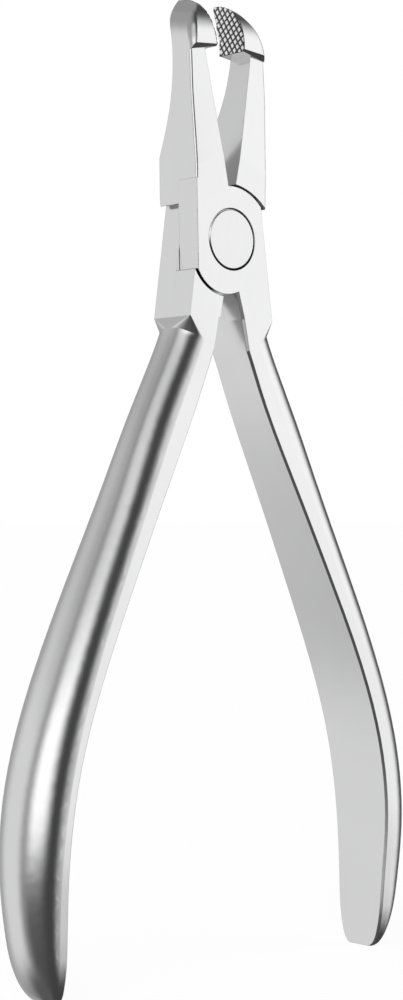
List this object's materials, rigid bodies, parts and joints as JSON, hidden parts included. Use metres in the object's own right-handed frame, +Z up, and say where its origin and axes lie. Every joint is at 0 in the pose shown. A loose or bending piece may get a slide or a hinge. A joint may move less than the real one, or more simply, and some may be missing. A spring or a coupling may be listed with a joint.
{
  "type": "orthodontic pliers",
  "caption": "Slim steel gripping pliers with a lapped joint, curved handles and short thick tips with a cross-cut gripping face, standing slightly open.",
  "frame": {"origin": "middle of the tool, level with the two handle ends it stands on", "axes": "+Z up from the handle ends to the gripping tips, +X towards the right handle, +Y towards the back, along the pivot"},
  "size_m": [0.0702, 0.0108, 0.1333],
  "materials": {
    "steel_front": "polished",
    "steel_back": "polished",
    "steel_pin": "ground flat",
    "steel_screw": "satin"
  },
  "bodies": {
    "front": {"front_half": "steel_front"},
    "back": {"back_half": "steel_back", "pivot_pin": "steel_pin", "rear_screw": "steel_screw"}
  },
  "joints": [
    {"name": "pivot", "type": "hinge", "parent": "front", "child": "back", "pos_m": [0, 0, 0.1], "axis": [0, 1, 0], "range_deg": [-10.2, 24]}
  ]
}
